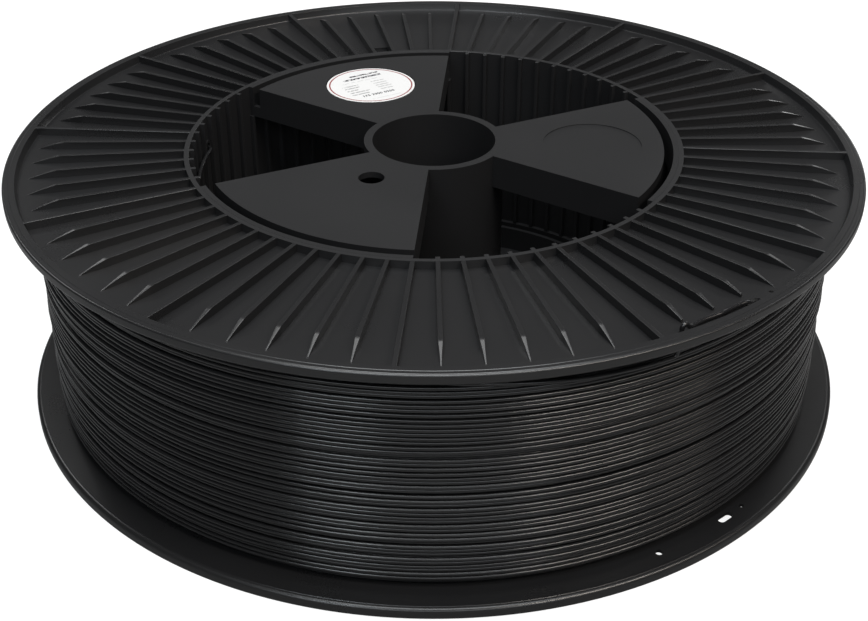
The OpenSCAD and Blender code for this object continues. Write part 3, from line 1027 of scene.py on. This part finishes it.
flange_plastic = plastic("black_flange_plastic", (0.008, 0.008, 0.0085), (0.012, 0.012, 0.0125), 0.25, 0.31,
                         bump=0.004)
drum_plastic = plastic("black_drum_plastic", (0.011, 0.011, 0.0116), (0.014, 0.014, 0.0147), 0.31, 0.37)
hub_plastic = plastic("black_hub_plastic", (0.010, 0.010, 0.0105), (0.014, 0.014, 0.0147), 0.3, 0.36)
filament_plastic = plastic("black_filament", (0.006, 0.006, 0.0065), (0.010, 0.010, 0.0105), 0.15, 0.22,
                           grain_scale=900.0, bump=0.004)
print("plastics:", flange_plastic.name, drum_plastic.name, hub_plastic.name, filament_plastic.name)

# %% [markdown]
# The label's print is made of masks. The Mapping node centres and turns the coordinates, so that U runs
# along the rows and V across them. A row is the space between two values of each, broken up into words by a
# noise.

# %% Label paper
label_paper, nodes, links, surface = new_material("label_paper")
surface.inputs["Roughness"].default_value = 0.35
mapping = nodes.new("ShaderNodeMapping")
mapping.vector_type = "TEXTURE"
mapping.inputs["Location"].default_value = (*spot(LABEL_R, LABEL_ANGLE), 0)
mapping.inputs["Rotation"].default_value = (0, 0, PRINT_TURN)
links.new(nodes.new("ShaderNodeTexCoord").outputs["Object"], mapping.inputs["Vector"])
split = nodes.new("ShaderNodeSeparateXYZ")
links.new(mapping.outputs["Vector"], split.inputs["Vector"])
flat = nodes.new("ShaderNodeCombineXYZ")
links.new(split.outputs["X"], flat.inputs["X"])
links.new(split.outputs["Y"], flat.inputs["Y"])
length = nodes.new("ShaderNodeVectorMath")
length.operation = "LENGTH"
links.new(flat.outputs["Vector"], length.inputs[0])
words = nodes.new("ShaderNodeTexNoise")
words.inputs["Scale"].default_value = 900.0
links.new(flat.outputs["Vector"], words.inputs["Vector"])
word_mask = math_node(nodes, links, "GREATER_THAN", words.outputs["Fac"], 0.44)

# Rows as: where they start and end along U, their V, their height and their strength, in millimetres
LEFT_ROWS = ((-5, 2.7), (-5.6, 0.4), (-7.4, -2.3), (-3, -4.8), (-4.5, -7.3))
RIGHT_ROWS = (3.3, 0.7, -1.7, -3.9, -6.4)
ROWS = ([(-13, end, v, 0.9, 0.6) for end, v in LEFT_ROWS]
        + [(1.7, 8.6, v, 0.8, 0.45) for v in RIGHT_ROWS]
        + [(-9, 10, 9.6, 1.6, 1.0), (-4.5, 10, 12.6, 1.4, 1.0)]
        + [(-11, 8, 6.3, 0.5, 0.35), (-7.7, 8.6, -15, 0.5, 0.25)])
PAPER = (0.62, 0.615, 0.61)
RED = (0.22, 0.05, 0.05)
INK = (0.02, 0.02, 0.025)


def between(value, low, high):
    return math_node(nodes, links, "COMPARE", value, (low + high) / 2 * MM, (high - low) / 2 * MM)


ink = 0.0
for start, end, v, height, strength in ROWS:
    row = math_node(nodes, links, "MULTIPLY", between(split.outputs["X"], start, end),
                    between(split.outputs["Y"], v - height / 2, v + height / 2))
    ink = math_node(nodes, links, "MULTIPLY_ADD", row, strength, ink)
ink = math_node(nodes, links, "MULTIPLY", ink, word_mask, clamp=True)


def paint(mask, under, over):
    """One more colour over the paper where the mask is 1."""
    node = nodes.new("ShaderNodeMix")
    node.data_type = "RGBA"
    links.new(mask, node.inputs[0])
    if isinstance(under, tuple):
        node.inputs[6].default_value = (*under, 1)
    else:
        links.new(under, node.inputs[6])
    node.inputs[7].default_value = (*over, 1)
    return node.outputs[2]


ring_mask = between(length.outputs["Value"], 18.35, 19.0)
colour = paint(ring_mask, PAPER, RED)
colour = paint(ink, colour, INK)
links.new(colour, surface.inputs["Base Color"])

print_ink, nodes, links, surface = new_material("print_ink")
surface.inputs["Base Color"].default_value = (0.012, 0.012, 0.014, 1)
print("label materials:", label_paper.name, print_ink.name, "with", len(ROWS), "rows")

# %% [markdown]
# ## Dressing the frame
#
# Every piece gets its material and is hung under an empty for the body that it rides on, and the CAD
# node that it stands for is hidden. The numbers are print on the label and stand for no node.

# %% Give every piece its material and its body, and hide its CAD node
dressing = (
    (flange, flange_plastic, "front_flange", "flange_plastic"),
    (back_flange, flange_plastic, "back_flange", "flange_plastic"),
    (drum, drum_plastic, "drum", "drum_plastic"),
    (hub, hub_plastic, "front_hub", "hub_plastic"),
    (back_hub, hub_plastic, "back_hub", "hub_plastic"),
    (under, filament_plastic, "winding_core", "filament"),
    (outer_layer, filament_plastic, "winding_outer_layer", "filament"),
    (outer_end, filament_plastic, "filament_end", "filament"),
    (inner_end, filament_plastic, "filament_start", "filament"),
    (label, label_paper, "label", "label_paper"),
)
for piece, material, node, slot_name in dressing:
    piece.data.materials.clear()
    piece.data.materials.append(material)
    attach(piece, "root")
    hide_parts(node)
numbers.data.materials.append(print_ink)
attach(numbers, "root")
print("pieces:", len(dressing) + 1)

# %% [markdown]
# ## Floor, background and light
#
# The floor is a plain plane. Seen straight by the camera, it and the world are white, because both glow for
# camera rays. To the spool itself both are dim, so that its black walls don't mirror a bright floor. The
# floor still takes the spool's shadow.

# %% Floor and world
FLOOR_GREY = 0.22
FLOOR_GLOW = 0.9
FLOOR_MIRRORED = 0.02
WORLD_LIGHT = 0.08

bpy.ops.object.select_all(action="DESELECT")
bpy.ops.mesh.primitive_plane_add(size=12, location=(0, 0, -0.0002))
floor = bpy.context.object
floor.name = "studio_floor"
floor_material, nodes, links, surface = new_material("white_floor")
surface.inputs["Base Color"].default_value = (FLOOR_GREY, FLOOR_GREY, FLOOR_GREY, 1)
surface.inputs["Roughness"].default_value = 0.9
surface.inputs["Specular IOR Level"].default_value = 0.0
ray = nodes.new("ShaderNodeLightPath")
mirrored = math_node(nodes, links, "MULTIPLY", ray.outputs["Is Glossy Ray"], FLOOR_MIRRORED)
glow = math_node(nodes, links, "MULTIPLY_ADD", ray.outputs["Is Camera Ray"], FLOOR_GLOW, mirrored)
surface.inputs["Emission Color"].default_value = (1, 1, 1, 1)
links.new(glow, surface.inputs["Emission Strength"])
floor.data.materials.append(floor_material)

world = bpy.data.worlds.new("studio_world")
bpy.context.scene.world = world
world.use_nodes = True
nodes, links = world.node_tree.nodes, world.node_tree.links
background = nodes["Background"]
ray = nodes.new("ShaderNodeLightPath")
seen = math_node(nodes, links, "MULTIPLY_ADD", ray.outputs["Is Camera Ray"], 1 - WORLD_LIGHT, WORLD_LIGHT)
background.inputs["Color"].default_value = (1, 1, 1, 1)
links.new(seen, background.inputs["Strength"])
print("world:", world.name)

# %% [markdown]
# Black plastic shows little colour of its own, and most of what is seen is the shine of the lamps. Large
# ones overhead and high behind give the flat faces their grey, small or thin ones at the sides and low
# behind give narrow glints, and those in front light the winding: warm on the right, cool on the left.

# %% Lamps
def softbox(name, azimuth, elevation, distance, width, height, watts, colour=(1, 1, 1)):
    """A flat lamp that looks at the spool. Azimuth is counter-clockwise from +X, both angles in degrees."""
    data = bpy.data.lights.new(name, "AREA")
    data.shape = "RECTANGLE"
    data.size = width
    data.size_y = height
    data.energy = watts
    data.color = colour
    lamp = bpy.data.objects.new(name, data)
    azimuth, elevation = math.radians(azimuth), math.radians(elevation)
    place = Vector((math.cos(azimuth) * math.cos(elevation), math.sin(azimuth) * math.cos(elevation),
                    math.sin(elevation))) * distance
    lamp.location = place
    lamp.rotation_euler = (-place).to_track_quat("-Z", "Y").to_euler()
    bpy.context.collection.objects.link(lamp)


softbox("top_softbox", -90, 83, 1.5, 0.9, 0.9, 19.5, (0.95, 0.98, 1.0))
softbox("upper_back_softbox", 90, 68, 1.5, 0.9, 0.42, 5.4)
softbox("back_softbox", 92, 8, 1.8, 2.4, 0.25, 1.2)
softbox("right_back_softbox", 60, 14, 1.5, 0.2, 0.3, 0.6)
softbox("right_side_softbox", 50, 38, 1.5, 0.25, 0.25, 0.7)
softbox("left_back_softbox", 131, 40, 1.5, 0.35, 0.3, 1.5)
softbox("front_softbox", -45, 46, 1.5, 0.75, 0.16, 9.5, (1.0, 0.92, 0.84))
softbox("right_front_softbox", -18, 38, 1.5, 0.4, 0.14, 1.3, (1.0, 0.9, 0.8))
softbox("left_front_softbox", -118, 46, 1.5, 0.4, 0.16, 3.2, (0.86, 0.94, 1.0))
softbox("front_fill", -92, 32, 1.6, 1.8, 0.5, 6.5, (0.92, 0.96, 1.0))
bpy.context.scene.view_settings.view_transform = "Standard"
print("lamps:", len(bpy.data.lights))
